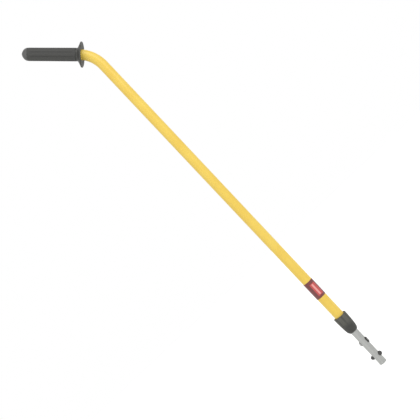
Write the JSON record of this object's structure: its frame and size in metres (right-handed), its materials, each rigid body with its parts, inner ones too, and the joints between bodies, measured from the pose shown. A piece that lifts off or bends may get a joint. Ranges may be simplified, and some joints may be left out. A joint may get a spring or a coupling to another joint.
{
  "type": "extension pole",
  "caption": "Telescopic extension pole with a twist-lock collar, a snap-in button tip and a bent end that carries a swivelling hand grip behind a round guard.",
  "frame": {"origin": "centre of the tip's end face, the end that enters the tool's socket", "axes": "+Z along the straight pole from the tip towards the grip; the pole bends in the XZ plane and its grip leans to -X"},
  "size_m": [0.1453, 0.062, 1.1368],
  "materials": {
    "yellow_paint": "satin powder coat",
    "bare_aluminium": "drawn, satin",
    "tip_plug": "matt",
    "pale_plastic": "matt",
    "key_plastic": "matt",
    "button_plastic": "matt",
    "zinc_steel": "zinc plated",
    "label_film": "printed film",
    "ferrule_plastic": "moulded",
    "collar_plastic": "moulded, fluted",
    "wiper_felt": "felt",
    "core_plastic": "moulded",
    "grip_rubber": "moulded, fluted",
    "guard_plastic": "moulded",
    "cap_plastic": "moulded"
  },
  "bodies": {
    "inner_section": {"inner_tube": "bare_aluminium", "tip_end_plug": "tip_plug", "backing_plug": "pale_plastic", "key_pad": "key_plastic", "key_rivet": "zinc_steel", "clip_bow": "button_plastic", "guide_bush": "pale_plastic", "guide_pin": "zinc_steel"},
    "button_right": {"button_arm_right": "button_plastic"},
    "button_left": {"button_arm_left": "button_plastic"},
    "outer_section": {"outer_tube": "yellow_paint", "label_band": "label_film", "throat_bush": "pale_plastic", "collet_ferrule": "ferrule_plastic", "ferrule_pin_front": "zinc_steel", "ferrule_pin_back": "zinc_steel", "tube_end_plug": "pale_plastic", "retaining_washer": "zinc_steel", "retaining_screw": "zinc_steel"},
    "twist_collar": {"lock_collar": "collar_plastic", "wiper_ring": "wiper_felt"},
    "swivel_grip": {"grip_core": "core_plastic", "grip_sleeve": "grip_rubber", "hand_guard": "guard_plastic", "end_cap": "cap_plastic"}
  },
  "joints": [
    {"name": "extension", "type": "slide", "parent": "inner_section", "child": "outer_section", "axis": [0, 0, 1], "range_m": [0, 0.61]},
    {"name": "collar_twist", "type": "hinge", "parent": "outer_section", "child": "twist_collar", "pos_m": [0, 0, 0.1037], "axis": [0, 0, 1], "range_deg": [0, 90]},
    {"name": "button_right_press", "type": "hinge", "parent": "inner_section", "child": "button_right", "pos_m": [0.00199, -0.00093, 0.0568], "axis": [0.4226, 0.9063, 0], "range_deg": [0, 8.9], "stiffness_Nm_per_rad": 3, "springref_deg": -3.67},
    {"name": "button_left_press", "type": "hinge", "parent": "inner_section", "child": "button_left", "pos_m": [-0.00199, 0.00093, 0.0568], "axis": [-0.4226, -0.9063, 0], "range_deg": [0, 12], "stiffness_Nm_per_rad": 3, "springref_deg": -3.67},
    {"name": "grip_swivel", "type": "hinge", "parent": "outer_section", "child": "swivel_grip", "pos_m": [0, 0, 1.0139], "axis": [-0.7242, 0, 0.6896], "continuous": true}
  ]
}
